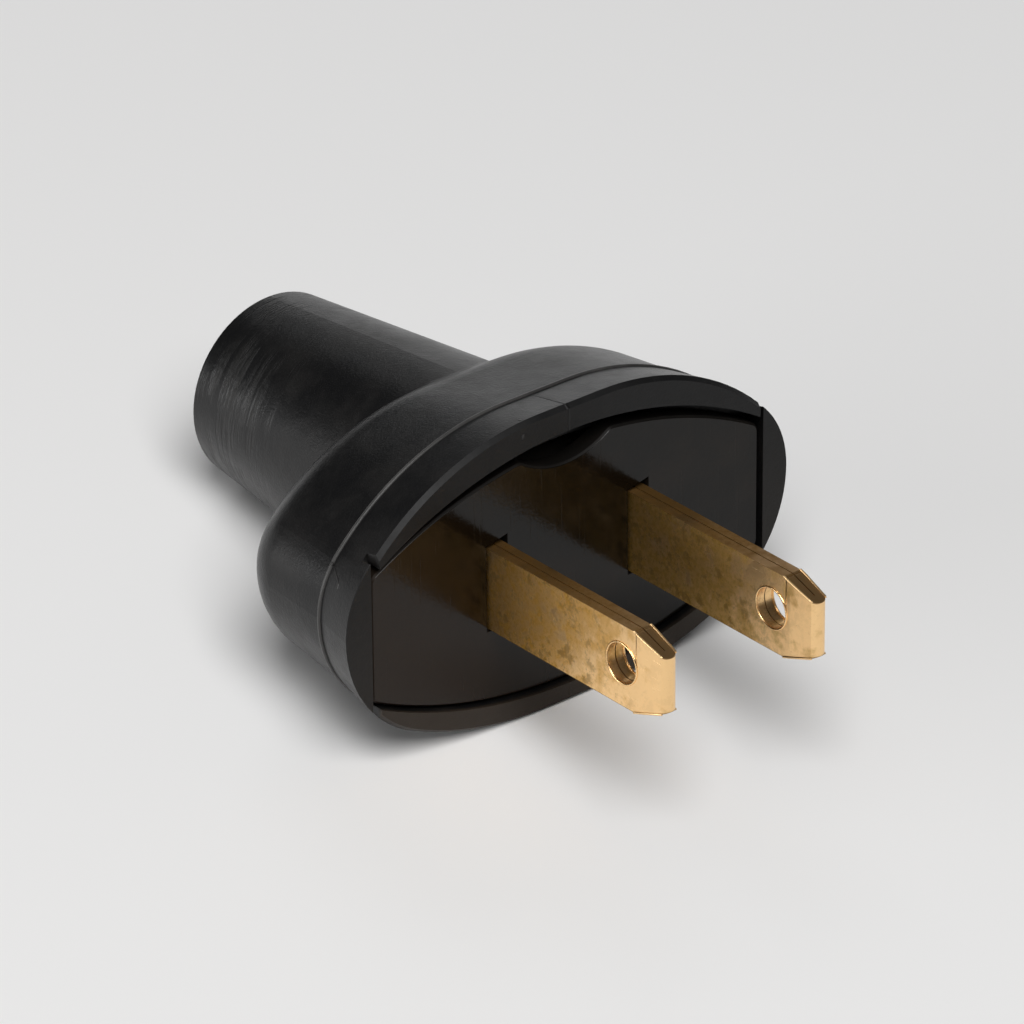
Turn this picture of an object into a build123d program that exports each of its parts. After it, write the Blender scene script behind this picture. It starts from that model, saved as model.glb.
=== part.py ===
"""Rubber electric plug with two flat blades: a moulded shell, its core, cover plate, blades and screws."""

import os
from math import atan, atan2, cos, degrees, sin, tan

from build123d import *

# Shell: an oval head with a flared rim, and a tapered neck (mm)
rim_half_width = 19.9
rim_top = 11.7
rim_bottom = 11.5
rim_flat_half_width = 2.8
top_end_radius = 7.5
bottom_end_radius = 9.9
rim_depth = 4.1
rim_flare = 0.8
rim_edge_chamfer = 0.35
head_depth = 14.4
head_width_taper = 0.97
head_height_taper = 0.85
shoulder_radius = 4.6
neck_end_depth = 34.3
neck_end_radius = 7.0
neck_root_radius = 9.0
neck_end_chamfer = 0.85
neck_root_fillet = 1.0
bore_radius = 4.25
bore_entry_chamfer = 0.8

# Mouth of the shell: arched top and bottom, straight ends
mouth_half_width = 17.6
mouth_top = 9.7
mouth_bottom = 10.0
mouth_end_top = 4.45
mouth_end_bottom = 5.8
mouth_corner_radius = 0.5
end_step = 0.3
slit_mouth_width = 0.6
slit_outer_width = 0.24
slit_depth = 1.3

# Cover plate, set back from the lips of the mouth
plate_setback = 0.6
plate_thickness = 1.5
plate_top_gap = 1.2
plate_end_top_gap = 0.6
plate_bottom_gap = 0.15
plate_end_gap = 0.2
plate_corner_radius = 0.9
plate_edge_round = 0.15
notch_centre = -0.2
notch_half_width = 4.3
notch_depth = 1.55
notch_corner_radius = 0.8
slot_gap = 0.2
slot_top_gap = 0.45

# Wiring space behind the plate, and the core at its bottom
ledge_width = 1.6
space_corner_radius = 1.5
wiring_depth = 3.5
core_thickness = 5.4
core_gap = 0.1
core_edge_chamfer = 0.4
wire_hole_radius = 3.2
wire_hole_chamfer = 0.6
screw_pocket_gap = 0.4
screw_pocket_depth = 4.7
clinch_pocket_depth = 1.8
clinch_pocket_gap = 0.3
blade_fit = 0.06

# Blades: each is one strip, folded over at the tip
blade_spacing = 12.7
blade_drop = 0.5
blade_width = 6.25
strip_thickness = 0.71
leaf_gap = 0.08
blade_length = 18.2
blade_play = 0.8
tip_taper_length = 2.4
tip_taper_depth = 0.14
tip_corner_length = 3.0
tip_corner_depth = 1.05
blade_hole_radius = 1.55
blade_hole_setback = 4.25
blade_hole_rise = 0.15
bend_radius = 0.75
tab_reach = 8.0
tab_corner_radius = 1.2
tail_width = 4.2
clinch_reach = 1.3

# Terminal screws
screw_from_blade = 4.6
screw_radius = 1.75
thread_gap = 0.05
screw_length = 4.5
screw_point = 0.4
head_radius = 2.95
head_height = 1.2
head_chamfer = 0.3
driver_slot_width = 0.9
driver_slot_depth = 0.6
driver_slot_turns = [20, -35]

# The plug lies on the lower edge of its rim and on the end of its neck, so its axis leans by
# the angle of the line through both
rim_slope = atan(rim_flare / rim_depth)
neck_slope = atan((neck_root_radius - neck_end_radius) / (neck_end_depth - head_depth))
rim_touch_depth = rim_edge_chamfer * cos(rim_slope)
rim_touch_drop = rim_bottom - rim_edge_chamfer * sin(rim_slope)
neck_touch_depth = neck_end_depth - neck_end_chamfer * cos(neck_slope)
neck_touch_drop = neck_end_radius + neck_end_chamfer * sin(neck_slope)
lean = atan2(rim_touch_drop - neck_touch_drop, neck_touch_depth - rim_touch_depth)

# Depths along the axis, counted back from the front of the lips
plate_back = plate_setback + plate_thickness
core_front = plate_back + wiring_depth
core_back = core_front + core_thickness
clinch_seat = core_back - clinch_pocket_depth

# The origin lies on the ground under the middle of the plug's length and width
blade_reach = blade_length + blade_play - plate_setback
tip_drop = blade_drop + blade_width / 2 - tip_corner_depth
front_reach = blade_reach * cos(lean) + tip_drop * sin(lean)
back_reach = neck_end_depth * cos(lean) + (neck_end_radius - neck_end_chamfer) * sin(lean)
axis_height = rim_touch_drop * cos(lean) + rim_touch_depth * sin(lean)

forward = Vector(0, -cos(lean), sin(lean))
upward = Vector(0, sin(lean), cos(lean))
lips = Plane(origin=(0, (front_reach - back_reach) / 2, axis_height), x_dir=(1, 0, 0), z_dir=forward)
plug_axis = Axis(lips.origin, forward)
# The blades' own middle lies a little below the shell's axis. Their plan plane has x across the
# plug and y backwards, and the side planes have x up and y forwards
blade_middle = Plane(origin=lips.origin - upward * blade_drop, x_dir=(1, 0, 0), z_dir=forward)
plan = Plane(origin=blade_middle.origin, x_dir=(1, 0, 0), z_dir=upward)
blade_side = Plane(origin=blade_middle.origin, x_dir=upward, z_dir=(1, 0, 0))
shell_side = Plane(origin=lips.origin, x_dir=upward, z_dir=(1, 0, 0))


def section(depth):
    """Plane across the shell, at a depth behind the lips."""
    return lips.offset(-depth)


def blade_section(depth):
    """Plane across the blades, at a depth behind the lips."""
    return blade_middle.offset(-depth)


def arch_radius(height, end_radius):
    """Radius of the arch that runs smoothly from the outline's flat middle into its end arc."""
    run = rim_half_width - rim_flat_half_width - end_radius
    return (run**2 / (height - end_radius) + height + end_radius) / 2


def outline_corner(height, end_radius, side):
    """The outline's arch and end arc, in its upper or lower right quarter."""
    radius = arch_radius(height, end_radius)
    end_centre = rim_half_width - end_radius
    lean_out = atan2(end_centre - rim_flat_half_width, radius - height)
    join = (end_centre + end_radius * sin(lean_out), side * end_radius * cos(lean_out))
    Line((0, side * height), (rim_flat_half_width, side * height))
    RadiusArc((rim_flat_half_width, side * height), join, side * radius)
    RadiusArc(join, (rim_half_width, 0), side * end_radius)


def arched_face(half_width, top, bottom, end_top, end_bottom):
    """Flat shape with an arched top and bottom and straight ends."""
    with BuildSketch() as shape:
        with BuildLine():
            top_arch = ThreePointArc((-half_width, end_top), (0, top), (half_width, end_top))
            bottom_arch = ThreePointArc((half_width, -end_bottom), (0, -bottom), (-half_width, -end_bottom))
            Line(top_arch @ 1, bottom_arch @ 0)
            Line(bottom_arch @ 1, top_arch @ 0)
        make_face()
    return shape.sketch


os.makedirs("parts", exist_ok=True)

with BuildSketch() as rim_sketch:
    with BuildLine():
        outline_corner(rim_top, top_end_radius, 1)
        outline_corner(rim_bottom, bottom_end_radius, -1)
        mirror(about=Plane.YZ)
    make_face()
rim_outline = rim_sketch.sketch
head_outline = offset(rim_outline, amount=-rim_flare)
mouth_outline = arched_face(mouth_half_width, mouth_top, mouth_bottom, mouth_end_top, mouth_end_bottom)

# Rubber shell: the head's rim and wall, then the neck, then the hollows
with BuildPart() as rubber_shell:
    with BuildSketch(section(0)):
        add(rim_outline)
    extrude(amount=-rim_depth, taper=degrees(rim_slope))
    with BuildSketch(section(rim_depth)):
        add(head_outline)
    with BuildSketch(section(head_depth)):
        add(scale(head_outline, by=(head_width_taper, head_height_taper, 1)))
    loft(ruled=True)
    fillet(rubber_shell.edges().group_by(plug_axis)[0], radius=shoulder_radius)
    chamfer(rubber_shell.edges().group_by(plug_axis)[-1], length=rim_edge_chamfer)

    with BuildSketch(shell_side) as neck_half:
        with BuildLine():
            Polyline(
                (0, -core_back),
                (neck_root_radius + (head_depth - core_back) * tan(neck_slope), -core_back),
                (neck_end_radius, -neck_end_depth),
                (0, -neck_end_depth),
                close=True,
            )
        make_face()
        chamfer(neck_half.vertices().group_by(Axis.Y)[0].sort_by(Axis.X)[-1], length=neck_end_chamfer)
    revolve(axis=plug_axis)
    neck_wall = rubber_shell.faces().filter_by(GeomType.CONE)[0]
    neck_root = neck_wall.edges().filter_by(lambda edge: edge.geom_type != GeomType.LINE)
    fillet(neck_root.sort_by(plug_axis)[1:], radius=neck_root_fillet)

    # Straight ends of the face, set back from the lips, and a slit at each corner of the mouth
    with BuildSketch(section(0)):
        with GridLocations(2 * rim_half_width, 0, 2, 1):
            Rectangle(2 * (rim_half_width - mouth_half_width), 2 * rim_top)
    extrude(amount=-end_step, mode=Mode.SUBTRACT)
    with BuildSketch(section(0)):
        for side, end_height in ((1, mouth_end_top), (-1, mouth_end_bottom)):
            Polygon(
                (mouth_half_width - slit_mouth_width, side * (end_height - slit_mouth_width)),
                (mouth_half_width, side * (end_height - slit_mouth_width)),
                (mouth_half_width + slit_outer_width / 2, side * rim_top),
                (mouth_half_width - slit_outer_width / 2, side * rim_top),
                align=None,
            )
        mirror(about=Plane.YZ)
    extrude(amount=-slit_depth, mode=Mode.SUBTRACT)

    # Mouth, wiring space and cord hole
    with BuildSketch(section(0)) as mouth:
        add(mouth_outline)
        fillet(mouth.vertices(), radius=mouth_corner_radius)
    extrude(amount=-plate_back, mode=Mode.SUBTRACT)
    with BuildSketch(section(plate_back)) as space:
        add(mouth_outline)
        offset(amount=-ledge_width, mode=Mode.REPLACE)
        fillet(space.vertices(), radius=space_corner_radius)
    extrude(amount=plate_back - core_back, mode=Mode.SUBTRACT)
    with BuildSketch(shell_side):
        with BuildLine():
            Polyline(
                (0, -core_back),
                (bore_radius, -core_back),
                (bore_radius, bore_entry_chamfer - neck_end_depth),
                (bore_radius + bore_entry_chamfer, -neck_end_depth),
                (0, -neck_end_depth),
                close=True,
            )
        make_face()
    revolve(axis=plug_axis, mode=Mode.SUBTRACT)
rubber_shell.part.label = "rubber_shell"
export_step(rubber_shell.part, "parts/rubber_shell.step")

# Cover plate: it rests low in the mouth, and a shallow notch in its top lets a tool lift it
with BuildPart() as face_plate:
    with BuildSketch(section(plate_setback)) as plate_outline:
        add(
            arched_face(
                mouth_half_width - plate_end_gap,
                mouth_top - plate_top_gap,
                mouth_bottom - plate_bottom_gap,
                mouth_end_top - plate_end_top_gap,
                mouth_end_bottom - plate_bottom_gap,
            )
        )
        fillet(plate_outline.vertices(), radius=plate_corner_radius)
        notch_top = mouth_top - plate_top_gap
        with BuildLine():
            notch_arc = ThreePointArc(
                (notch_centre - notch_half_width, notch_top),
                (notch_centre, notch_top - notch_depth),
                (notch_centre + notch_half_width, notch_top),
            )
            Polyline(
                notch_arc @ 0,
                notch_arc @ 0 + Vector(0, notch_depth),
                notch_arc @ 1 + Vector(0, notch_depth),
                notch_arc @ 1,
            )
        make_face(mode=Mode.SUBTRACT)
        notch_ends = plate_outline.vertices().sort_by_distance((notch_centre, notch_top))[:2]
        fillet(notch_ends, radius=notch_corner_radius)
    extrude(amount=-plate_thickness)
    with BuildSketch(blade_section(plate_setback)):
        slot_half_width = strip_thickness + leaf_gap / 2 + slot_gap
        slot_half_height = blade_width / 2 + slot_gap
        with GridLocations(blade_spacing, 0, 2, 1):
            Rectangle(2 * slot_half_width, 2 * slot_half_height)
        for side in (-1, 1):
            with Locations((side * blade_spacing / 2, slot_half_height)):
                Polygon((-slot_half_width, 0), (slot_half_width, 0), (slot_half_width, slot_top_gap))
    extrude(amount=-plate_thickness, mode=Mode.SUBTRACT)
    plate_edges = face_plate.faces().sort_by(plug_axis)[-1].outer_wire().edges()
    chamfer(plate_edges, length=plate_edge_round)
face_plate.part.label = "face_plate"
export_step(face_plate.part, "parts/face_plate.step")

# Core: a hard block at the bottom of the wiring space, which carries both blades
blade_half = strip_thickness + leaf_gap / 2
leaf_offset = (strip_thickness + leaf_gap) / 2
with BuildPart() as core:
    with BuildSketch(section(core_back)) as core_outline:
        add(mouth_outline)
        offset(amount=-ledge_width - core_gap, mode=Mode.REPLACE)
        fillet(core_outline.vertices(), radius=space_corner_radius - core_gap)
    extrude(amount=core_thickness)
    chamfer(core.faces().sort_by(plug_axis)[-1].edges(), length=core_edge_chamfer)
    with BuildSketch(section(core_back)):
        Circle(wire_hole_radius)
    extrude(amount=core_thickness, mode=Mode.SUBTRACT)
    chamfer(core.faces().sort_by(plug_axis)[-1].inner_wires()[0].edges(), length=wire_hole_chamfer)
    for side in (-1, 1):
        leaf_centre = side * (blade_spacing / 2 - leaf_offset)
        with BuildSketch(blade_section(core_back)):
            with Locations((leaf_centre, 0)):
                Rectangle(strip_thickness + 2 * blade_fit, tail_width + 2 * blade_fit)
        extrude(amount=core_thickness, mode=Mode.SUBTRACT)
        with BuildSketch(blade_section(core_back)):
            with Locations((leaf_centre - side * clinch_reach / 2, 0)):
                Rectangle(
                    clinch_reach + strip_thickness + 2 * clinch_pocket_gap,
                    tail_width + 2 * clinch_pocket_gap,
                )
        extrude(amount=clinch_pocket_depth, mode=Mode.SUBTRACT)
        with BuildSketch(plan):
            relief = bend_radius - strip_thickness / 2 + blade_fit
            slot_face = leaf_centre - side * (strip_thickness / 2 + blade_fit)
            Polygon(
                (slot_face, clinch_seat),
                (slot_face - side * relief, clinch_seat),
                (slot_face, clinch_seat - relief),
                align=None,
            )
        extrude(amount=tail_width / 2 + blade_fit, both=True, mode=Mode.SUBTRACT)
        with BuildSketch(blade_section(core_front)):
            with Locations((side * (blade_spacing / 2 + leaf_offset + screw_from_blade), 0)):
                Circle(screw_radius + screw_pocket_gap)
        extrude(amount=-screw_pocket_depth, mode=Mode.SUBTRACT)
core.part.label = "terminal_core"
export_step(core.part, "parts/terminal_core.step")

# Blades and their screws: the right blade stands further out, by the play between core and clinch
for side, name, pulled in ((-1, "left", 0), (1, "right", blade_play)):
    outer_leaf = side * (blade_spacing / 2 + leaf_offset)
    inner_leaf = side * (blade_spacing / 2 - leaf_offset)
    tab_depth = core_front - pulled - strip_thickness / 2
    clinch_depth = clinch_seat + blade_play - pulled + strip_thickness / 2
    tip = plate_setback - blade_length - pulled
    fold = tip + strip_thickness / 2 + leaf_offset
    screw_x = outer_leaf + side * screw_from_blade

    with BuildPart() as blade:
        with BuildSketch(plan):
            with BuildLine():
                FilletPolyline(
                    (outer_leaf + side * tab_reach, tab_depth),
                    (outer_leaf, tab_depth),
                    (outer_leaf, fold),
                    radius=bend_radius,
                )
                ThreePointArc(
                    (outer_leaf, fold), (side * blade_spacing / 2, fold - leaf_offset), (inner_leaf, fold)
                )
                FilletPolyline(
                    (inner_leaf, fold),
                    (inner_leaf, clinch_depth),
                    (inner_leaf - side * clinch_reach, clinch_depth),
                    radius=bend_radius,
                )
            trace(line_width=strip_thickness)
        extrude(amount=blade_width / 2, both=True)

        # The tail behind the tab is narrower than the blade
        tab_back = tab_depth + strip_thickness / 2
        tail_reach = clinch_reach + strip_thickness
        with BuildSketch(blade_section(tab_back)):
            with Locations((side * blade_spacing / 2 - side * tail_reach / 2, 0)):
                Rectangle(tail_reach, blade_width)
                Rectangle(tail_reach, tail_width, mode=Mode.SUBTRACT)
        extrude(amount=-core_thickness, mode=Mode.SUBTRACT)

        # The tip is pressed thinner on both faces, and its corners are cut
        with BuildSketch(plan):
            for face in (-1, 1):
                face_x = side * blade_spacing / 2 + face * blade_half
                Polygon(
                    (face_x, tip + tip_taper_length),
                    (face_x - face * tip_taper_depth, tip),
                    (face_x + face * blade_half, tip),
                    (face_x + face * blade_half, tip + tip_taper_length),
                    align=None,
                )
        extrude(amount=blade_width, both=True, mode=Mode.SUBTRACT)
        with BuildSketch(blade_side.offset(side * blade_spacing / 2)):
            Polygon(
                (blade_width / 2, -tip - tip_corner_length),
                (blade_width / 2 - tip_corner_depth, -tip),
                (blade_width, -tip),
                (blade_width, -tip - tip_corner_length),
                align=None,
            )
            mirror(about=Plane.YZ)
            with Locations((blade_hole_rise, -tip - blade_hole_setback)):
                Circle(blade_hole_radius)
        extrude(amount=blade_half, both=True, mode=Mode.SUBTRACT)

        # The tab has a tapped hole for its screw and rounded corners
        with BuildSketch(blade_section(tab_back)):
            with Locations((screw_x, 0)):
                Circle(screw_radius + thread_gap)
        extrude(amount=strip_thickness, mode=Mode.SUBTRACT)
        tab_corners = blade.edges().filter_by(plug_axis).group_by(Axis.X)[-1 if side > 0 else 0]
        fillet(tab_corners, radius=tab_corner_radius)
    blade.part.label = f"blade_{name}"
    export_step(blade.part, f"parts/blade_{name}.step")

    # Screw with a slotted flat head, seated on the tab
    with BuildPart() as screw:
        seat_depth = tab_depth - strip_thickness / 2
        with BuildSketch(plan):
            with BuildLine():
                Polyline(
                    (screw_x, seat_depth - head_height),
                    (screw_x, seat_depth + screw_length),
                    (screw_x + screw_radius - screw_point, seat_depth + screw_length),
                    (screw_x + screw_radius, seat_depth + screw_length - screw_point),
                    (screw_x + screw_radius, seat_depth),
                    (screw_x + head_radius, seat_depth),
                    (screw_x + head_radius, seat_depth - head_height + head_chamfer),
                    (screw_x + head_radius - head_chamfer, seat_depth - head_height),
                    close=True,
                )
            make_face()
        screw_axis = Axis((plan * Pos(screw_x, 0, 0)).position, forward)
        revolve(axis=screw_axis)
        with BuildSketch(blade_section(seat_depth - head_height)):
            with Locations(Location((screw_x, 0), driver_slot_turns[pulled > 0])):
                Rectangle(2 * head_radius, driver_slot_width)
        extrude(amount=-driver_slot_depth, mode=Mode.SUBTRACT)
    screw.part.label = f"terminal_screw_{name}"
    export_step(screw.part, f"parts/terminal_screw_{name}.step")
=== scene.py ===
"""Looks for the rubber electric plug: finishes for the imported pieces, a floor, soft light and the camera.

Unless a line says otherwise, lengths are in millimetres in the plug's own frame: x across the two
blades, y (the depth) back along the axis from the front of the lips, and z up across the head.
"""

import logging
from collections.abc import Callable
from dataclasses import dataclass, field
from enum import Enum
from functools import partial
from math import cos, radians, sin

import bpy
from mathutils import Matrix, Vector


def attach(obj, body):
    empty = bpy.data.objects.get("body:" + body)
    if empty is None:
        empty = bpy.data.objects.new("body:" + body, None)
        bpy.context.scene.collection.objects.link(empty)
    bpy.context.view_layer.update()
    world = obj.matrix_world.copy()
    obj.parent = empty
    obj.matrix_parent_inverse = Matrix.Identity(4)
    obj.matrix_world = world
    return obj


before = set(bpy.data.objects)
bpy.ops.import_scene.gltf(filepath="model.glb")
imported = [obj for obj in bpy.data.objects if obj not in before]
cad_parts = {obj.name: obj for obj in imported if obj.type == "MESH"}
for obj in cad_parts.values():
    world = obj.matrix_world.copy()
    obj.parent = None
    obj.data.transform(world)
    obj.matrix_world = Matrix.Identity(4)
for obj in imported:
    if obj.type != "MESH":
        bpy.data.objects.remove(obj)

LOG = logging.getLogger("rubber_plug")
MILLIMETRE = 0.001
FULL = 1.0
RIDGE_TOP = 0.3

Colour = tuple[float, float, float]
Point = tuple[float, float, float]
Span = tuple[float, float]


class Slot(Enum):
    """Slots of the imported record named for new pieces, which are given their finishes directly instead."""

    RUBBER = "rubber"
    BLADE = "blade_brass"
    SCREW = "screw_brass"


@dataclass(frozen=True)
class PlugFrame:
    """Place of the plug's own frame in the row's frame.

    Attributes:
        origin: middle of the mouth at the front of the lips, in metres.
        lean: angle in degrees by which the axis leans down towards the neck.
    """

    origin: Point = (0.0, -0.008115, 0.01138)
    lean: float = 7.481

    def inside(self, place: Vector) -> Vector:
        """Gives a place in the plug's own frame.

        Args:
            place: a place in the row's frame, in metres.

        Returns:
            The same place in the plug's own frame, in millimetres.
        """
        back, up = place.y - self.origin[1], place.z - self.origin[2]
        turn = radians(self.lean)
        depth, height = back * cos(turn) - up * sin(turn), back * sin(turn) + up * cos(turn)
        return Vector((place.x, depth, height)) / MILLIMETRE

    def outside(self, place: Point) -> Vector:
        """Gives a place in the row's frame.

        Args:
            place: a place in the plug's own frame, in millimetres.

        Returns:
            The same place in the row's frame, in metres.
        """
        across, depth, height = (value * MILLIMETRE for value in place)
        turn = radians(self.lean)
        back, up = depth * cos(turn) + height * sin(turn), height * cos(turn) - depth * sin(turn)
        return Vector((across, self.origin[1] + back, self.origin[2] + up))


@dataclass
class NodeBench:
    """A node tree with short ways to add and join nodes.

    Attributes:
        tree: the node tree that is worked on.
    """

    tree: bpy.types.NodeTree

    def add(self, kind: str, **settings: object) -> bpy.types.Node:
        """Adds one node.

        Args:
            kind: Blender's name for the node's type.
            settings: attributes to set on the node.

        Returns:
            The new node.
        """
        node = self.tree.nodes.new(kind)
        for name, value in settings.items():
            setattr(node, name, value)
        return node

    def feed(self, target: bpy.types.NodeSocket, source: object) -> None:
        """Joins a socket to another, or sets its value.

        Args:
            target: the input socket.
            source: an output socket, a number or a tuple.
        """
        if isinstance(source, bpy.types.NodeSocket):
            self.tree.links.new(source, target)
        else:
            target.default_value = source

    def sum(self, operation: str, *values: object, clamp: bool = False) -> bpy.types.NodeSocket:
        """Adds a Math node.

        Args:
            operation: the node's operation.
            values: its inputs, in order.
            clamp: whether the result stays between 0 and 1.

        Returns:
            The node's result.
        """
        node = self.add("ShaderNodeMath", operation=operation, use_clamp=clamp)
        for socket, value in zip(node.inputs, values):
            self.feed(socket, value)
        return node.outputs[0]

    def plus(self, total: object, mask: object, share: float, clamp: bool = False) -> bpy.types.NodeSocket:
        """Adds a share of a mask to a total.

        Args:
            total: what is added to.
            mask: what is added.
            share: how much of the mask is added.
            clamp: whether the result stays between 0 and 1.

        Returns:
            The new total.
        """
        return self.sum("MULTIPLY_ADD", mask, share, total, clamp=clamp)

    def both(self, first: object, second: object) -> bpy.types.NodeSocket:
        """Multiplies two masks, so that the result shows where both do."""
        return self.sum("MULTIPLY", first, second)

    def off(self, value: object, middle: float) -> bpy.types.NodeSocket:
        """Gives how far a value is from a middle, to either side."""
        return self.sum("ABSOLUTE", self.sum("SUBTRACT", value, middle))

    def step(self, value: object, low: object, high: object) -> bpy.types.NodeSocket:
        """Adds a smooth step from 0 at low to 1 at high.

        Args:
            value: what is measured.
            low: value at which the step starts.
            high: value at which the step ends.

        Returns:
            The step's result.
        """
        node = self.add("ShaderNodeMapRange", interpolation_type="SMOOTHSTEP")
        for socket, given in zip(node.inputs, (value, low, high, 0.0, FULL)):
            self.feed(socket, given)
        return node.outputs[0]

    def fall(self, value: object, low: float, high: float) -> bpy.types.NodeSocket:
        """Adds a smooth fall from 1 at low to 0 at high.

        Args:
            value: what is measured.
            low: value at which the fall starts.
            high: value at which the fall ends.

        Returns:
            The fall's result.
        """
        return self.sum("SUBTRACT", FULL, self.step(value, low, high))

    def ridge(self, gap: object, half_width: float) -> bpy.types.NodeSocket:
        """Adds a narrow ridge with a flat top and soft sides.

        Args:
            gap: distance from the ridge's middle.
            half_width: distance at which the ridge ends.

        Returns:
            The ridge's mask.
        """
        return self.fall(gap, half_width * RIDGE_TOP, half_width)

    def noise(self, place: object, scale: object, detail: float, roughness: float) -> bpy.types.NodeSocket:
        """Adds a noise texture.

        Args:
            place: the coordinates.
            scale: the noise's scale.
            detail: how many octaves it has.
            roughness: how strong the finer octaves are.

        Returns:
            The noise's value.
        """
        node = self.add("ShaderNodeTexNoise")
        self.feed(node.inputs["Vector"], place)
        self.feed(node.inputs["Scale"], scale)
        node.inputs["Detail"].default_value = detail
        node.inputs["Roughness"].default_value = roughness
        return node.outputs["Fac"]

    def lay(
        self,
        place: object,
        scale: Point = (1.0, 1.0, 1.0),
        turn: Point = (0.0, 0.0, 0.0),
        shift: Point = (0.0, 0.0, 0.0),
    ) -> bpy.types.NodeSocket:
        """Adds a Mapping node that stretches, turns and moves coordinates.

        Args:
            place: the coordinates.
            scale: how many times each is stretched.
            turn: angles in degrees.
            shift: how far each is moved.

        Returns:
            The new coordinates.
        """
        node = self.add("ShaderNodeMapping")
        self.feed(node.inputs["Vector"], place)
        node.inputs["Scale"].default_value = scale
        node.inputs["Rotation"].default_value = tuple(radians(angle) for angle in turn)
        node.inputs["Location"].default_value = shift
        return node.outputs["Vector"]

    def mix(self, share: object, first: object, second: object) -> bpy.types.NodeSocket:
        """Mixes two colours.

        Args:
            share: how much of the second colour shows.
            first: colour where the share is 0.
            second: colour where the share is 1.

        Returns:
            The mixed colour.
        """
        node = self.add("ShaderNodeMix", data_type="RGBA")
        self.feed(node.inputs["Factor"], share)
        colours = [socket for socket in node.inputs if socket.type == "RGBA"]
        for socket, value in zip(colours, (first, second)):
            self.feed(socket, (*value, FULL) if isinstance(value, tuple) else value)
        return next(socket for socket in node.outputs if socket.type == "RGBA")

    def tint(self, colour: object, towards: Colour, mask: object, share: float) -> bpy.types.NodeSocket:
        """Tints a colour towards another.

        Args:
            colour: the colour to tint.
            towards: the other colour.
            mask: where the tint shows.
            share: how strong it is at most.

        Returns:
            The tinted colour.
        """
        return self.mix(self.sum("MULTIPLY", mask, share), colour, towards)

    def near_line(self, place: object, start: Point, end: Point, half_width: float) -> bpy.types.NodeSocket:
        """Adds a mask that is 1 on a short line and fades to 0 beside it.

        Args:
            place: the coordinates.
            start: where the line starts.
            end: where it ends.
            half_width: distance at which the mask is 0.

        Returns:
            The mask.
        """
        line = Vector(end) - Vector(start)
        away = self.add("ShaderNodeVectorMath", operation="SUBTRACT")
        self.feed(away.inputs[0], place)
        away.inputs[1].default_value = start
        along = self.add("ShaderNodeVectorMath", operation="DOT_PRODUCT")
        self.feed(along.inputs[0], away.outputs["Vector"])
        along.inputs[1].default_value = line / line.length_squared
        share = self.sum("ADD", along.outputs["Value"], 0.0, clamp=True)
        nearest = self.add("ShaderNodeVectorMath", operation="SCALE")
        nearest.inputs[0].default_value = line
        self.feed(nearest.inputs["Scale"], share)
        gap = self.add("ShaderNodeVectorMath", operation="DISTANCE")
        self.feed(gap.inputs[0], away.outputs["Vector"])
        self.feed(gap.inputs[1], nearest.outputs["Vector"])
        return self.ridge(gap.outputs["Value"], half_width)

    def split(self, place: object) -> tuple[bpy.types.NodeSocket, ...]:
        """Splits coordinates into x, y and z."""
        node = self.add("ShaderNodeSeparateXYZ")
        self.feed(node.inputs[0], place)
        return tuple(node.outputs)


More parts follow.
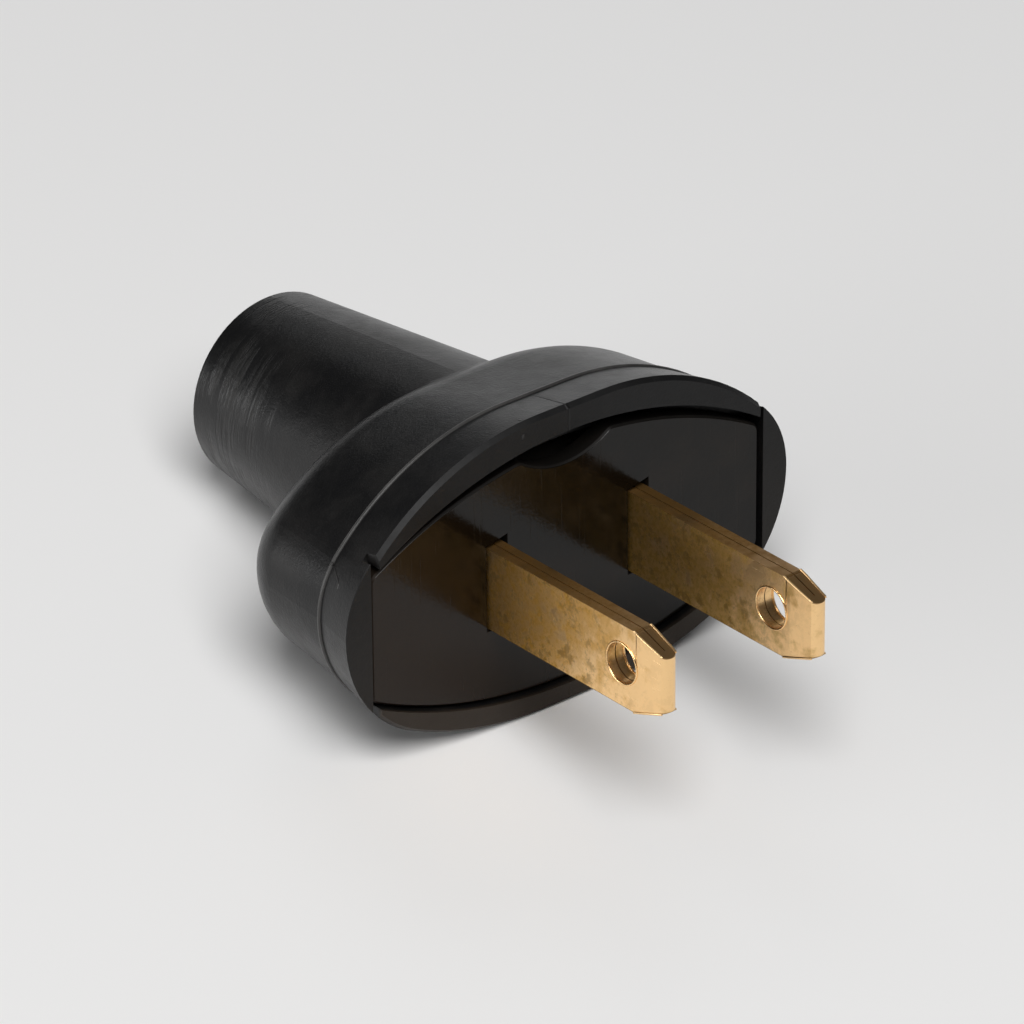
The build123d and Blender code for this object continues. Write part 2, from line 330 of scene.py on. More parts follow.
@dataclass
class SharedEffects:
    """Node groups that several materials use, each built once.

    Attributes:
        pits: share of the grain's height that its small pits have.
        swell: share that its slow swell has.
        hair_ways: turn and stretch of each set of hairlines.
        groups: the finished groups by name.
    """

    pits: float = 0.35
    swell: float = 0.65
    hair_ways: tuple[tuple[Point, Point], ...] = (
        ((4.0, 0.0, 0.0), (14.0, 0.22, 14.0)),
        ((-9.0, 0.0, 3.0), (9.0, 0.3, 9.0)),
    )
    groups: dict[str, bpy.types.NodeTree] = field(default_factory=dict)

    def _start(
        self, name: str, inputs: dict[str, float], output: str
    ) -> tuple[NodeBench, dict[str, bpy.types.NodeSocket], bpy.types.NodeSocket]:
        """Starts a group with a vector input and named values.

        Args:
            name: the group's name.
            inputs: its value inputs with their defaults.
            output: its value output.

        Returns:
            The bench, the group's inputs by name and the socket that its result goes to.
        """
        tree = bpy.data.node_groups.new(name, "ShaderNodeTree")
        tree.interface.new_socket("Place", in_out="INPUT", socket_type="NodeSocketVector")
        for title, value in inputs.items():
            socket = tree.interface.new_socket(title, in_out="INPUT", socket_type="NodeSocketFloat")
            socket.default_value = value
        tree.interface.new_socket(output, in_out="OUTPUT", socket_type="NodeSocketFloat")
        bench = NodeBench(tree)
        self.groups[name] = tree
        given = {socket.name: socket for socket in bench.add("NodeGroupInput").outputs if socket.name}
        return bench, given, bench.add("NodeGroupOutput").inputs[output]

    def build(self) -> None:
        """Builds every shared group."""
        self._grain()
        self._smudges()
        self._hairlines()

    def _grain(self) -> None:
        """Fine grain: small pits on a slow swell."""
        bench, given, result = self._start("fine_grain", {"Scale": 4.0, "Swell": 0.4}, "Height")
        fine = bench.noise(given["Place"], given["Scale"], detail=4.0, roughness=0.6)
        slow = bench.noise(given["Place"], given["Swell"], detail=2.0, roughness=0.5)
        small = bench.sum("MULTIPLY", fine, self.pits)
        bench.feed(result, bench.sum("ADD", small, bench.sum("MULTIPLY", slow, self.swell)))

    def _smudges(self) -> None:
        """Smudges: soft patches with broken borders, as handling leaves them."""
        bench, given, result = self._start("smudges", {"Scale": 0.3, "Low": 0.42, "High": 0.66}, "Mask")
        wide = bench.noise(given["Place"], given["Scale"], detail=5.0, roughness=0.62)
        bench.feed(result, bench.step(wide, given["Low"], given["High"]))

    def _hairlines(self) -> None:
        """Hairlines: thin scratches that run mostly one way."""
        bench, given, result = self._start("hairlines", {"Scale": 1.0}, "Mask")
        lines = 0.0
        for turn, stretch in self.hair_ways:
            place = bench.lay(given["Place"], stretch, turn)
            thin = bench.step(bench.noise(place, given["Scale"], detail=2.0, roughness=0.4), low=0.66, high=0.74)
            lines = bench.sum("MAXIMUM", thin, lines)
        bench.feed(result, lines)

    def use(self, bench: NodeBench, name: str, place: object, **values: float) -> bpy.types.NodeSocket:
        """Places a group in a material.

        Args:
            bench: the material's bench.
            name: the group's name.
            place: coordinates for the group.
            values: values for its other inputs.

        Returns:
            The group's result.
        """
        node = bench.add("ShaderNodeGroup", node_tree=self.groups[name])
        bench.feed(node.inputs["Place"], place)
        for title, value in values.items():
            node.inputs[title].default_value = value
        return node.outputs[0]


@dataclass(frozen=True)
class Finish:
    """What every finish has: a name, the plug's frame and a blank material.

    Attributes:
        name: the material's name.
        plug: the plug's own frame.
    """

    name: str
    plug: PlugFrame = PlugFrame()

    def _blank(self) -> tuple[bpy.types.Material, NodeBench, bpy.types.Node, bpy.types.NodeSocket]:
        """Makes a material with its shader and the plug's own coordinates.

        Returns:
            The material, its bench, the shader and the coordinates in millimetres.
        """
        material = bpy.data.materials.new(self.name)
        material.use_nodes = True
        bench = NodeBench(material.node_tree)
        shader = next(node for node in material.node_tree.nodes if node.type == "BSDF_PRINCIPLED")
        here = bench.add("ShaderNodeTexCoord").outputs["Object"]
        turn = bench.add("ShaderNodeMapping", vector_type="TEXTURE")
        bench.feed(turn.inputs["Vector"], here)
        turn.inputs["Location"].default_value = self.plug.origin
        turn.inputs["Rotation"].default_value = (-radians(self.plug.lean), 0.0, 0.0)
        turn.inputs["Scale"].default_value = (MILLIMETRE,) * 3
        return material, bench, shader, turn.outputs["Vector"]

    @staticmethod
    def _relief(bench: NodeBench, shader: bpy.types.Node, height: object, depth: float, strength: float = FULL) -> None:
        """Joins a height to the shader's normal.

        Args:
            bench: the material's bench.
            shader: the shader.
            height: the height over the surface, from 0 to 1.
            depth: how high 1 is, in millimetres.
            strength: how much of it shows.
        """
        bump = bench.add("ShaderNodeBump")
        bump.inputs["Strength"].default_value = strength
        bump.inputs["Distance"].default_value = depth * MILLIMETRE
        bench.feed(bump.inputs["Height"], height)
        bench.feed(shader.inputs["Normal"], bump.outputs["Normal"])


@dataclass(frozen=True)
class RubberFinish(Finish):
    """Satin black moulded rubber with a seam, worn streaks round the neck and short marks.

    Attributes:
        deep: colour of clean rubber.
        dusty: colour where it has bloomed.
        face: colour of the painted light on the flat faces round the plate, lighter and warmer than the rubber.
        streak: colour of the streaks at the neck's end.
        mark: colour of the short marks.
        gloss: roughness of clean rubber.
        bend: how strongly it bends light, as its index of refraction.
        relief: height of its grain.
        face_depths: depths at which the face colour starts to fade and is gone.
        face_heights: heights at which it starts to fade and is gone.
        chamfer_depth: depth of the lips' chamfer, which is duller than the rest.
        seam_x: where the mould's seam runs, across the plug.
        seam_half_width: half the seam's width.
        seam_depths: depths at which the seam starts to fade and is gone.
        marks: the start and end of each short mark.
        mark_half_width: half the marks' width.
        streak_depths: depths at which the streaks start and are strongest.
        streak_stretch: how far the streaks' pattern is stretched along each axis.
        streak_turn: how far it is turned, in degrees.
    """

    deep: Colour = (0.0042, 0.0042, 0.0044)
    dusty: Colour = (0.0125, 0.0115, 0.0108)
    face: Colour = (0.027, 0.0195, 0.0135)
    streak: Colour = (0.0115, 0.011, 0.0105)
    mark: Colour = (0.032, 0.031, 0.03)
    gloss: float = 0.29
    bend: float = 1.34
    relief: float = 0.06
    face_depths: Span = (0.05, 0.45)
    face_heights: Span = (-9.0, 6.0)
    chamfer_depth: float = 0.36
    seam_x: float = -0.4
    seam_half_width: float = 0.14
    seam_depths: Span = (2.0, 4.5)
    marks: tuple[tuple[Point, Point], ...] = (
        ((-18.72, 2.5, 2.9), (-18.62, 2.75, 3.35)),
        ((-18.62, 2.75, 3.35), (-18.0, 4.0, 3.95)),
        ((-4.46, -0.05, 10.5), (-4.17, 0.66, 11.5)),
    )
    mark_half_width: float = 0.16
    streak_depths: Span = (21.0, 29.0)
    streak_stretch: Point = (0.09, 1.7, 0.09)
    streak_turn: Point = (3.0, 0.0, 2.0)

    def _streaks(self, bench: NodeBench, place: object, depth: object) -> bpy.types.NodeSocket:
        """Adds the streaks that run round the neck's end.

        Args:
            bench: the material's bench.
            place: the coordinates.
            depth: the depth alone.

        Returns:
            The streaks' mask.
        """
        drawn_out = bench.lay(place, self.streak_stretch, self.streak_turn)
        rings = bench.step(bench.noise(drawn_out, scale=1.0, detail=4.0, roughness=0.6), low=0.47, high=0.68)
        patches = bench.step(bench.noise(place, scale=0.22, detail=3.0, roughness=0.6), low=0.38, high=0.62)
        return bench.both(bench.both(rings, patches), bench.step(depth, *self.streak_depths))

    def material(self, effects: SharedEffects) -> bpy.types.Material:
        """Builds the material.

        Args:
            effects: the shared node groups.

        Returns:
            The material.
        """
        material, bench, shader, place = self._blank()
        x, depth, up = bench.split(place)
        bloom = effects.use(bench, "smudges", place, Scale=0.16, Low=0.4, High=0.72)
        fine_bloom = effects.use(bench, "smudges", place, Scale=1.1, Low=0.45, High=0.8)
        streaks = self._streaks(bench, place, depth)
        marks = 0.0
        for start, end in self.marks:
            marks = bench.sum("MAXIMUM", bench.near_line(place, start, end, self.mark_half_width), marks)
        # Painted light: the front faces round the plate are tinted lighter and warmer, fully on the lower lip and
        # fading out before the top lip.
        lower_face_light = bench.both(bench.fall(depth, *self.face_depths), bench.fall(up, *self.face_heights))

        colour = bench.tint(self.deep, self.dusty, bloom, share=0.55)
        colour = bench.tint(colour, self.dusty, fine_bloom, share=0.22)
        colour = bench.tint(colour, self.streak, streaks, share=0.75)
        colour = bench.mix(marks, colour, self.mark)
        bench.feed(shader.inputs["Base Color"], bench.mix(lower_face_light, colour, self.face))

        rough = bench.plus(self.gloss, bloom, share=0.08)
        rough = bench.plus(rough, streaks, share=0.06)
        rough = bench.plus(rough, bench.sum("LESS_THAN", depth, self.chamfer_depth), share=0.22)
        bench.feed(shader.inputs["Roughness"], bench.plus(rough, fine_bloom, share=0.06))
        shader.inputs["IOR"].default_value = self.bend

        seam = bench.ridge(bench.off(x, self.seam_x), self.seam_half_width)
        seam = bench.both(seam, bench.fall(depth, *self.seam_depths))
        height = effects.use(bench, "fine_grain", place, Scale=5.0, Swell=0.5)
        height = bench.plus(height, seam, share=0.8)
        height = bench.plus(height, streaks, share=-0.8)
        height = bench.plus(height, marks, share=1.6)
        self._relief(bench, shader, height, self.relief)
        return material


@dataclass(frozen=True)
class SheetFinish(Finish):
    """Glossy black sheet with a faint brown cast, rub marks and hairlines.

    Attributes:
        deep: colour of clean sheet.
        rubbed: colour where it is rubbed.
        left_browning: colour that the sheet turns towards its left end.
        gloss: roughness of clean sheet.
        bend: how strongly it bends light, as its index of refraction.
        relief: height of its grain.
        relief_strength: how much of the grain shows.
        left_browning_ends: where the browning starts to fade and is gone, across the plug at the axis.
        left_browning_lean: how much further left the browning ends for each millimetre up.
        cut_depths: depths between which the sheet turns from its glossy front to its dull cut edges.
        hair_turn: how far the hairlines are turned, in degrees.
    """

    deep: Colour = (0.003, 0.0022, 0.0014)
    rubbed: Colour = (0.014, 0.009, 0.0055)
    left_browning: Colour = (0.0125, 0.0068, 0.003)
    gloss: float = 0.13
    bend: float = 1.32
    relief: float = 0.035
    relief_strength: float = 0.8
    left_browning_ends: Span = (-18.0, -2.0)
    left_browning_lean: float = 0.8
    cut_depths: Span = (0.6, 0.65)
    hair_turn: Point = (90.0, 25.0, 0.0)

    def material(self, effects: SharedEffects) -> bpy.types.Material:
        """Builds the material.

        Args:
            effects: the shared node groups.

        Returns:
            The material.
        """
        material, bench, shader, place = self._blank()
        x, depth, up = bench.split(place)
        rub = effects.use(bench, "smudges", place, Scale=0.22, Low=0.4, High=0.75)
        lines = effects.use(bench, "hairlines", bench.lay(place, turn=self.hair_turn), Scale=0.5)
        # The sheet turns browner towards its left end, and more so lower down.
        left_browning = bench.fall(bench.sum("ADD", x, bench.sum("MULTIPLY", up, self.left_browning_lean)), *self.left_browning_ends)

        colour = bench.tint(self.deep, self.rubbed, rub, share=0.5)
        colour = bench.mix(left_browning, colour, self.left_browning)
        bench.feed(shader.inputs["Base Color"], bench.tint(colour, self.rubbed, lines, share=0.2))

        rough = bench.plus(self.gloss, rub, share=0.09)
        rough = bench.plus(rough, bench.step(depth, *self.cut_depths), share=0.5)
        bench.feed(shader.inputs["Roughness"], bench.plus(rough, lines, share=0.1))
        shader.inputs["IOR"].default_value = self.bend

        grain = effects.use(bench, "fine_grain", place, Scale=2.2, Swell=0.18)
        self._relief(bench, shader, bench.plus(grain, lines, share=-0.1), self.relief, self.relief_strength)
        return material


@dataclass(frozen=True)
class BrassFinish(Finish):
    """Bare brass strip: bright at the tip, with brown blotches and dark spots that grow denser towards the root.

    Attributes:
        bright: colour of clean brass.
        tarnish: colour of the brown blotches.
        stain_and_crease_shade: colour of the darkest spots, and of the painted shade along the press's crease.
        edge: colour of the cut edges; where it is dark, it is partly their own dull tone and partly painted shade.
        gloss: roughness of clean brass.
        relief: height of its grain.
        blotch: how strong the blotches are.
        seed: where the pattern starts, so that no two pieces share it.
        tip_depth: depth of the bright end, ahead of the lips.
        root_depth: depth at which the growth towards the root is full.
        blade_half_width: half the blade's width, from its middle to its cut edges.
        blade_drop: how far the blade's middle lies under the plug's axis.
        corner_length: length of the cut corners at the tip.
        corner_depth: how far the corners are cut in.
        cut_edge: how far from the cut edges their colour starts and is full.
        crease: how strong the press's crease is, as a groove and as the painted shade along it.
        crease_setback: how far the crease lies behind the tip.
        crease_sides: distances from its middle at which it starts to fade and is gone.
        crease_heights: heights at which the crease starts and is strongest.
    """

    bright: Colour = (1.0, 0.67, 0.33)
    tarnish: Colour = (0.52, 0.28, 0.05)
    stain_and_crease_shade: Colour = (0.13, 0.075, 0.018)
    edge: Colour = (0.2, 0.105, 0.035)
    gloss: float = 0.3
    relief: float = 0.03
    blotch: float = 0.5
    seed: Point = (0.0, 0.0, 0.0)
    tip_depth: float = -17.5
    root_depth: float = -5.0
    blade_half_width: float = 3.125
    blade_drop: float = 0.5
    corner_length: float = 3.0
    corner_depth: float = 1.05
    cut_edge: Span = (-0.06, -0.015)
    crease: float = 0.35
    crease_setback: float = 2.7
    crease_sides: Span = (0.02, 0.1)
    crease_heights: Span = (-0.6, 0.9)

    def _cut_edges(self, bench: NodeBench, depth: object, up: object) -> bpy.types.NodeSocket:
        """Adds a mask for the blade's cut edges, which run in at the tip's corners.

        Args:
            bench: the material's bench.
            depth: the depth.
            up: the height.

        Returns:
            The mask.
        """
        ahead = bench.sum("SUBTRACT", self.tip_depth + self.corner_length, depth)
        ahead = bench.sum("DIVIDE", ahead, self.corner_length, clamp=True)
        limit = bench.plus(self.blade_half_width, ahead, share=-self.corner_depth)
        beyond = bench.sum("SUBTRACT", bench.off(up, -self.blade_drop), limit)
        return bench.step(beyond, *self.cut_edge)

    def _press_crease(self, bench: NodeBench, depth: object, up: object) -> bpy.types.NodeSocket:
        """Adds a mask for the fine crease that the press leaves behind the tip.

        Args:
            bench: the material's bench.
            depth: the depth.
            up: the height.

        Returns:
            The mask.
        """
        line = bench.fall(bench.off(depth, self.tip_depth + self.crease_setback), *self.crease_sides)
        return bench.both(bench.both(line, bench.step(up, *self.crease_heights)), self.crease)

    def material(self, effects: SharedEffects) -> bpy.types.Material:
        """Builds the material.

        Args:
            effects: the shared node groups.

        Returns:
            The material.
        """
        material, bench, shader, place = self._blank()
        _, depth, up = bench.split(place)
        spot = bench.lay(place, shift=self.seed)
        lines = effects.use(bench, "hairlines", spot, Scale=1.0)
        cut = self._cut_edges(bench, depth, up)
        crease = self._press_crease(bench, depth, up)

        # Darker and browner towards the root: the blotches and dark spots grow from the tip's depth to the root's.
        rootward = bench.step(depth, self.tip_depth, self.root_depth)
        wide = bench.noise(spot, scale=0.42, detail=5.0, roughness=0.62)
        blotches = bench.step(bench.plus(wide, rootward, share=0.26), low=0.54, high=0.74)
        mottle = bench.step(bench.noise(spot, scale=2.4, detail=4.0, roughness=0.7), low=0.42, high=0.68)
        brown = bench.sum("MULTIPLY", blotches, self.blotch, clamp=True)
        brown = bench.plus(brown, bench.both(mottle, rootward), share=0.45, clamp=True)
        dark = bench.step(bench.noise(spot, scale=0.8, detail=6.0, roughness=0.74), low=0.5, high=0.62)
        dark = bench.both(dark, bench.sum("MULTIPLY_ADD", rootward, 0.66, 0.06))

        colour = bench.mix(brown, self.bright, self.tarnish)
        colour = bench.mix(dark, colour, self.stain_and_crease_shade)
        # Painted shade along the press's crease, darkening its groove.
        colour = bench.tint(colour, self.stain_and_crease_shade, crease, share=0.7)
        # The cut edges are tinted towards the edge colour; its dark brown is partly their own dull sheared tone and
        # partly painted shade on these narrow faces.
        bench.feed(shader.inputs["Base Color"], bench.tint(colour, self.edge, cut, share=0.8))
        shader.inputs["Metallic"].default_value = FULL

        rough = bench.plus(self.gloss, brown, share=0.2)
        rough = bench.plus(rough, dark, share=0.2)
        rough = bench.plus(rough, cut, share=0.15)
        bench.feed(shader.inputs["Roughness"], bench.plus(rough, lines, share=-0.04))

        height = effects.use(bench, "fine_grain", spot, Scale=3.5, Swell=0.35)
        height = bench.plus(height, lines, share=-0.1)
        height = bench.plus(height, crease, share=-1.5)
        self._relief(bench, shader, bench.plus(height, dark, share=-0.3), self.relief)
        return material


@dataclass(frozen=True)
class MouldingFinish(Finish):
    """Dull dark moulding, as hard terminal blocks are.

    Attributes:
        base: main colour.
        dust: colour of dust in the pores.
        gloss: roughness.
        relief: height of its grain.
    """

    base: Colour = (0.03, 0.026, 0.022)
    dust: Colour = (0.09, 0.08, 0.07)
    gloss: float = 0.55
    relief: float = 0.08

    def material(self, effects: SharedEffects) -> bpy.types.Material:
        """Builds the material.

        Args:
            effects: the shared node groups.

        Returns:
            The material.
        """
        material, bench, shader, place = self._blank()
        dust = effects.use(bench, "smudges", place, Scale=0.6, Low=0.45, High=0.75)
        bench.feed(shader.inputs["Base Color"], bench.tint(self.base, self.dust, dust, share=0.5))
        bench.feed(shader.inputs["Roughness"], bench.plus(self.gloss, dust, share=0.2))
        self._relief(bench, shader, effects.use(bench, "fine_grain", place, Scale=3.0, Swell=0.6), self.relief)
        return material


@dataclass(frozen=True)
class EdgeBead:
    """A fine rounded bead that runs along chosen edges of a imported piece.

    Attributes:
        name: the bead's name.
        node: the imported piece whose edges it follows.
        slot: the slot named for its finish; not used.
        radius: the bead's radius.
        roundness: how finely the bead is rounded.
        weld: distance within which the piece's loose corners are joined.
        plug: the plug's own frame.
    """

    name: str
    node: str
    slot: Slot
    radius: float
    roundness: int = 2
    weld: float = 0.005
    plug: PlugFrame = PlugFrame()

    def build(self, follows: Callable[[Vector, Vector], bool], sharper_than: float = 0.0) -> bpy.types.Object:
        """Makes the bead.

        Args:
            follows: tells from an edge's two ends, in the plug's own frame, whether the bead runs along it.
            sharper_than: angle in degrees that an edge has to be sharper than, or 0 for every edge.

        Returns:
            The bead, as a mesh.
        """
        bead = bpy.data.objects.new(self.name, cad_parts[self.node].data.copy())
        bpy.context.scene.collection.objects.link(bead)
        bead.data.materials.clear()
        pick(bead)
        bpy.ops.object.mode_set(mode="EDIT")
        bpy.ops.mesh.select_mode(type="EDGE")
        bpy.ops.mesh.select_all(action="SELECT")
        bpy.ops.mesh.remove_doubles(threshold=self.weld * MILLIMETRE)
        if sharper_than:
            bpy.ops.mesh.select_all(action="DESELECT")
            bpy.ops.mesh.edges_select_sharp(sharpness=radians(sharper_than))
        bpy.ops.object.mode_set(mode="OBJECT")
        points = [self.plug.inside(vertex.co) for vertex in bead.data.vertices]
        chosen = [edge.select and follows(*(points[end] for end in edge.vertices)) for edge in bead.data.edges]
        bead.data.vertices.foreach_set("select", [False] * len(bead.data.vertices))
        bead.data.polygons.foreach_set("select", [False] * len(bead.data.polygons))
        bead.data.edges.foreach_set("select", [not keep for keep in chosen])
        bpy.ops.object.mode_set(mode="EDIT")
        bpy.ops.mesh.delete(type="EDGE")
        bpy.ops.object.mode_set(mode="OBJECT")
        bpy.ops.object.convert(target="CURVE")
        curve = bpy.context.object.data
        curve.bevel_depth = self.radius * MILLIMETRE
        curve.bevel_resolution = self.roundness
        curve.use_fill_caps = True
        bpy.ops.object.convert(target="MESH")
        bead = bpy.context.object
        bpy.ops.object.shade_smooth()
        finish_piece(bead, self.name)
        return bead


@dataclass(frozen=True)
class ScrewThread:
    """The thread on a terminal screw, behind the tab that it is screwed through.

    Attributes:
        name: the thread's name.
        across: where the screw's axis is, across the plug.
        start: depth at which the thread starts.
        up: height of the screw's axis.
        core_radius: radius of the screw's shank.
        ridge: how far the thread stands out.
        ridge_corners: how many corners the ridge's section has.
        pitch: distance from turn to turn.
        turns: how many turns it has.
        steps: how many steps each turn has.
        plug: the plug's own frame.
    """

    name: str
    across: float
    start: float
    up: float = -0.5
    core_radius: float = 1.75
    ridge: float = 0.2
    ridge_corners: int = 3
    pitch: float = 0.62
    turns: int = 4
    steps: int = 24
    plug: PlugFrame = PlugFrame()

    def build(self) -> bpy.types.Object:
        """Makes the thread as a ridge that winds back along the shank.

        Returns:
            The thread.
        """
        bpy.ops.object.select_all(action="DESELECT")
        bpy.ops.mesh.primitive_circle_add(
            vertices=self.ridge_corners,
            radius=self.ridge * MILLIMETRE,
            fill_type="NOTHING",
            location=(0.0, 0.0, 0.0),
            rotation=(radians(90.0), radians(-90.0), 0.0),
        )
        thread = bpy.context.object
        bpy.ops.object.transform_apply(location=True, rotation=True, scale=True)
        reach = max(vertex.co.x for vertex in thread.data.vertices)
        bpy.ops.object.mode_set(mode="EDIT")
        bpy.ops.mesh.select_all(action="SELECT")
        bpy.ops.transform.translate(value=((self.core_radius + self.ridge) * MILLIMETRE - reach, 0.0, 0.0))
        bpy.ops.object.mode_set(mode="OBJECT")
        wind = thread.modifiers.new("wind", "SCREW")
        wind.axis = "Z"
        wind.screw_offset = self.pitch * MILLIMETRE
        wind.iterations = self.turns
        wind.steps = wind.render_steps = self.steps
        wind.use_merge_vertices = True
        bpy.ops.object.modifier_apply(modifier="wind")
        bpy.ops.object.mode_set(mode="EDIT")
        bpy.ops.mesh.select_all(action="DESELECT")
        bpy.ops.mesh.select_non_manifold()
        bpy.ops.mesh.edge_face_add()
        bpy.ops.mesh.select_all(action="SELECT")
        bpy.ops.mesh.normals_make_consistent(inside=False)
        bpy.ops.object.mode_set(mode="OBJECT")
        thread.rotation_euler = (radians(-90.0 - self.plug.lean), 0.0, 0.0)
        thread.location = self.plug.outside((self.across, self.start, self.up))
        bpy.ops.object.transform_apply(location=True, rotation=True, scale=True)
        finish_piece(thread, self.name)
        return thread


@dataclass
class Moulding:
    """The shell with the bead behind its rim, its cover plate and the core.

    Attributes:
        shell: the shell's node.
        plate: the plate's node.
        core: the core's node.
        rim_depth: how deep the rim is, from the front of the lips.
        crease_slack: how far an edge of the crease behind the rim may lie from that depth.
        bead_radius: radius of the bead in the crease.
        bead: the bead, once it is built.
    """

    shell: str = "rubber_shell"
    plate: str = "face_plate"
    core: str = "terminal_core"
    rim_depth: float = 4.1
    crease_slack: float = 0.03
    bead_radius: float = 0.17
    bead: bpy.types.Object | None = None

    def _on_crease(self, one: Vector, two: Vector) -> bool:
        """Tells whether an edge with these two ends runs along the crease behind the rim."""
        return all(abs(end.y - self.rim_depth) < self.crease_slack for end in (one, two))

    def build(self) -> None:
        """Makes the bead behind the rim."""
        self.bead = EdgeBead("rim_bead", self.shell, Slot.RUBBER, self.bead_radius).build(self._on_crease)

    def dress(self, effects: SharedEffects) -> None:
        """Gives the three pieces and the bead their finishes.

        Args:
            effects: the shared node groups.
        """
        dress_node(self.shell, RubberFinish("satin_black_rubber").material(effects))
        # The bead is a much lighter grey than the rubber: partly worn rubber along the crease, partly a painted
        # highlight on it.
        worn_and_highlit = RubberFinish("rubbed_and_highlit_rubber_edge", deep=(0.035, 0.034, 0.033), dusty=(0.09, 0.087, 0.084), gloss=0.34)
        self.bead.data.materials.append(worn_and_highlit.material(effects))
        dress_node(self.plate, SheetFinish("glossy_black_sheet").material(effects))
        dress_node(self.core, MouldingFinish("dull_dark_moulding").material(effects))


@dataclass(frozen=True)
class TerminalSide:
    """One blade with its screw.

    Attributes:
        blade: the blade's node.
        screw: the screw's node.
        tip: depth of the blade's tip, ahead of the lips.
        screw_across: where the screw's axis is, across the plug.
        thread_start: depth at which the screw's thread starts.
        finish: the blade's finish.
    """

    blade: str
    screw: str
    tip: float
    screw_across: float
    thread_start: float
    finish: BrassFinish


@dataclass
class Terminals:
    """The two blades and their screws.

    Attributes:
        near: the near side.
        far: the far side, whose blade stands further out.
        screw_finish: finish of the screws and their threads.
        burr_finish: finish of the blades' rolled edges.
        burr_radius: radius of the rolled edges.
        burr_sharpness: angle in degrees that an edge is sharper than where it is rolled.
        blade_middle: where each blade's middle is, to either side of the axis.
        blade_half: half a blade's thickness.
        flank_margin: how far inside a blade's flank an edge still counts as the flank's.
        tip_margin: how far behind the tip the rolled edges start.
        plate_front: depth of the plate's front, where they end.
        burrs: the rolled edges by blade, once they are built.
        threads: the screws' threads, once they are built.
    """

    near: TerminalSide = TerminalSide(
        blade="blade_left",
        screw="terminal_screw_left",
        tip=-17.6,
        screw_across=-11.345,
        thread_start=5.85,
        finish=BrassFinish("worn_brass_near", seed=(3.1, 0.7, 5.2), blotch=0.62),
    )
    far: TerminalSide = TerminalSide(
        blade="blade_right",
        screw="terminal_screw_right",
        tip=-18.4,
        screw_across=11.345,
        thread_start=5.05,
        finish=BrassFinish(
            "worn_brass_far",
            seed=(11.4, 2.6, 1.3),
            blotch=0.75,
            tip_depth=-18.3,
            root_depth=-7.0,
            crease=FULL,
            tarnish=(0.45, 0.27, 0.065),
        ),
    )
    screw_finish: BrassFinish = BrassFinish(
        "turned_brass", seed=(7.0, 4.0, 2.0), tip_depth=-40.0, root_depth=-30.0, gloss=0.34
    )
    burr_finish: BrassFinish = BrassFinish(
        "bright_brass_edge", seed=(1.0, 6.0, 4.0), blotch=0.2, edge=(0.8, 0.55, 0.28), gloss=0.24
    )
    burr_radius: float = 0.085
    burr_sharpness: float = 40.0
    blade_middle: float = 6.35
    blade_half: float = 0.75
    flank_margin: float = 0.2
    tip_margin: float = 0.15
    plate_front: float = 0.5
    burrs: dict[str, bpy.types.Object] = field(default_factory=dict)
    threads: list[bpy.types.Object] = field(default_factory=list)

    def _on_flank(self, side: TerminalSide, one: Vector, two: Vector) -> bool:
        """Tells whether an edge is on a blade's flank, in front of the plate and behind the tip.

        Args:
            side: the blade's side.
            one: the edge's first end.
            two: its second end.

        Returns:
            Whether the edge is rolled.
        """
        return all(
            side.tip + self.tip_margin < end.y < self.plate_front
            and abs(abs(end.x) - self.blade_middle) > self.blade_half - self.flank_margin
            for end in (one, two)
        )

    def build(self) -> None:
        """Makes the rolled burrs along the blades' edges and the threads on the screws."""
        for side in (self.near, self.far):
            burr = EdgeBead(f"{side.blade}_burr", side.blade, Slot.BLADE, self.burr_radius)
            self.burrs[side.blade] = burr.build(partial(self._on_flank, side), self.burr_sharpness)
        for side in (self.near, self.far):
            thread = ScrewThread(f"{side.screw}_thread", side.screw_across, side.thread_start)
            self.threads.append(thread.build())

    def dress(self, effects: SharedEffects) -> None:
        """Gives the blades and screws their finishes.

        Args:
            effects: the shared node groups.
        """
        burr_brass = self.burr_finish.material(effects)
        turned_brass = self.screw_finish.material(effects)
        for side in (self.near, self.far):
            dress_node(side.blade, side.finish.material(effects))
            self.burrs[side.blade].data.materials.append(burr_brass)
            dress_node(side.screw, turned_brass)
        for thread in self.threads:
            thread.data.materials.append(turned_brass)


@dataclass(frozen=True)
class SoftLamp:
    """One soft panel of light that faces the plug.

    Attributes:
        name: the lamp's name.
        place: its middle, in metres.
        width: its width, in metres.
        height: its height, in metres.
        power: its power, in watts.
        aim: the place that it faces, in metres.
    """

    name: str
    place: Point
    width: float
    height: float
    power: float
    aim: Point = (0.0, 0.0, 0.01)

    def build(self) -> None:
        """Adds the lamp, turned towards the plug."""
        light = bpy.data.lights.new(self.name, "AREA")
        light.shape = "RECTANGLE"
        light.size = self.width
        light.size_y = self.height
        light.energy = self.power
        lamp = bpy.data.objects.new(self.name, light)
        lamp.location = self.place
        lamp.rotation_euler = (Vector(self.place) - Vector(self.aim)).to_track_quat("Z", "Y").to_euler()
        bpy.context.scene.collection.objects.link(lamp)
        LOG.info("lamp %s", self.name)


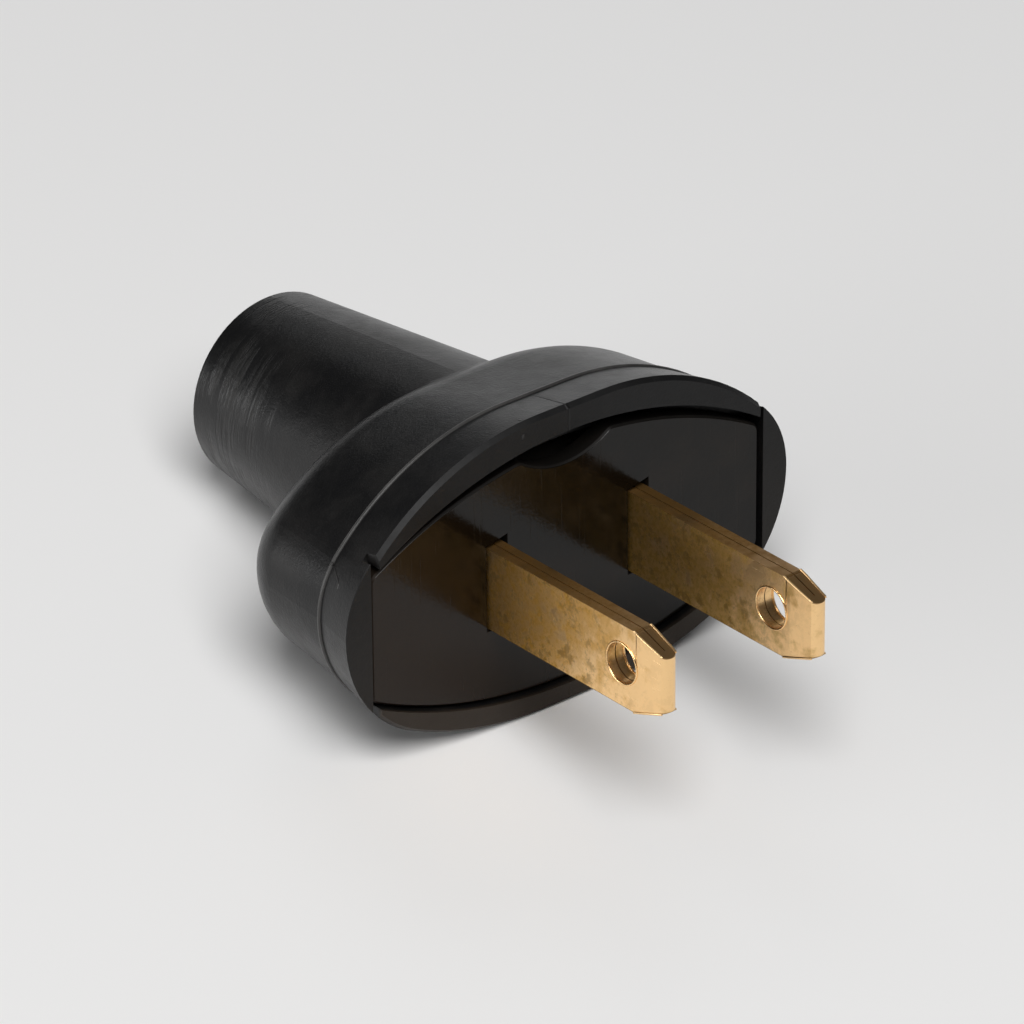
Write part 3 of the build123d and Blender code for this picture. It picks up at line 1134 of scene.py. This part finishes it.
@dataclass
class Studio:
    """Pale floor, soft lights and the camera.

    Attributes:
        lamps: the soft lamps.
        dusk: strength of the even light all round.
        dusk_colour: its colour.
        floor_size: side of the floor, in metres.
        floor_colour: the floor's colour.
        floor_gloss: the floor's roughness.
        camera_place: the camera's place, in metres.
        camera_turn: its turn about x, y and z, in degrees.
        lens: its focal length.
        sensor: width of its sensor.
        sight: how far it sees, in metres.
    """

    lamps: tuple[SoftLamp, ...] = (
        SoftLamp("overhead", (-0.3, -0.42, 0.85), width=0.6, height=0.6, power=9.2),
        SoftLamp("back_top", (0.3, 0.62, 0.55), width=0.45, height=0.3, power=0.6),
        SoftLamp("back_right", (0.85, 0.8, 0.16), width=0.8, height=0.24, power=0.8),
        SoftLamp("left_low", (-0.88, 0.32, 0.13), width=0.8, height=0.24, power=5.2),
    )
    dusk: float = 0.05
    dusk_colour: Colour = (0.95, 0.97, 1.0)
    floor_size: float = 6.0
    floor_colour: Colour = (0.86, 0.855, 0.85)
    floor_gloss: float = 0.9
    camera_place: Point = (-0.311731, -0.340169, 0.319494)
    camera_turn: Point = (56.06525, -4.37281, -39.68976)
    lens: float = 281.25
    sensor: float = 36.0
    sight: float = 10.0

    def build(self) -> None:
        """Builds the floor, the lights and the camera."""
        self._floor()
        for lamp in self.lamps:
            lamp.build()
        self._dusk()
        bpy.context.scene.view_settings.view_transform = "Standard"
        self._camera()

    def _floor(self) -> None:
        """Adds the floor."""
        bpy.ops.object.select_all(action="DESELECT")
        bpy.ops.mesh.primitive_plane_add(size=self.floor_size, location=(0.0, 0.0, 0.0))
        floor = bpy.context.object
        floor.name = "floor"
        material = bpy.data.materials.new("pale_floor")
        material.use_nodes = True
        shader = next(node for node in material.node_tree.nodes if node.type == "BSDF_PRINCIPLED")
        shader.inputs["Base Color"].default_value = (*self.floor_colour, FULL)
        shader.inputs["Roughness"].default_value = self.floor_gloss
        floor.data.materials.append(material)

    def _dusk(self) -> None:
        """Adds the even light all round."""
        world = bpy.data.worlds.new("studio")
        world.use_nodes = True
        background = next(node for node in world.node_tree.nodes if node.type == "BACKGROUND")
        background.inputs["Color"].default_value = (*self.dusk_colour, FULL)
        background.inputs["Strength"].default_value = self.dusk
        bpy.context.scene.world = world

    def _camera(self) -> None:
        """Adds the camera at the photograph's viewing angle."""
        camera = bpy.data.cameras.new("camera")
        camera.sensor_width = self.sensor
        camera.lens = self.lens
        camera.clip_end = self.sight
        eye = bpy.data.objects.new("camera", camera)
        eye.location = self.camera_place
        eye.rotation_euler = tuple(radians(angle) for angle in self.camera_turn)
        bpy.context.scene.collection.objects.link(eye)
        bpy.context.scene.camera = eye


def pick(piece: bpy.types.Object) -> None:
    """Selects one piece alone and makes it active."""
    bpy.ops.object.select_all(action="DESELECT")
    piece.select_set(True)
    bpy.context.view_layer.objects.active = piece


def finish_piece(piece: bpy.types.Object, name: str) -> None:
    """Names a new piece, rides it on the plug and reports it.

    Args:
        piece: the piece.
        name: its name.
    """
    piece.name = piece.data.name = name
    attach(piece, "root")
    LOG.info("%s has %d faces", name, len(piece.data.polygons))


def dress_node(name: str, material: bpy.types.Material) -> None:
    """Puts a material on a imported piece.

    Args:
        name: the piece's node.
        material: its material.
    """
    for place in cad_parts[name].material_slots:
        place.material = material
    LOG.info("%s wears %s", name, material.name)


def main() -> None:
    """Builds and dresses everything."""
    logging.basicConfig(level=logging.INFO, format="%(message)s")
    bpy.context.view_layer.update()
    effects = SharedEffects()
    effects.build()
    for group in (Moulding(), Terminals()):
        group.build()
        group.dress(effects)
    Studio().build()


if __name__ == "__main__":
    main()
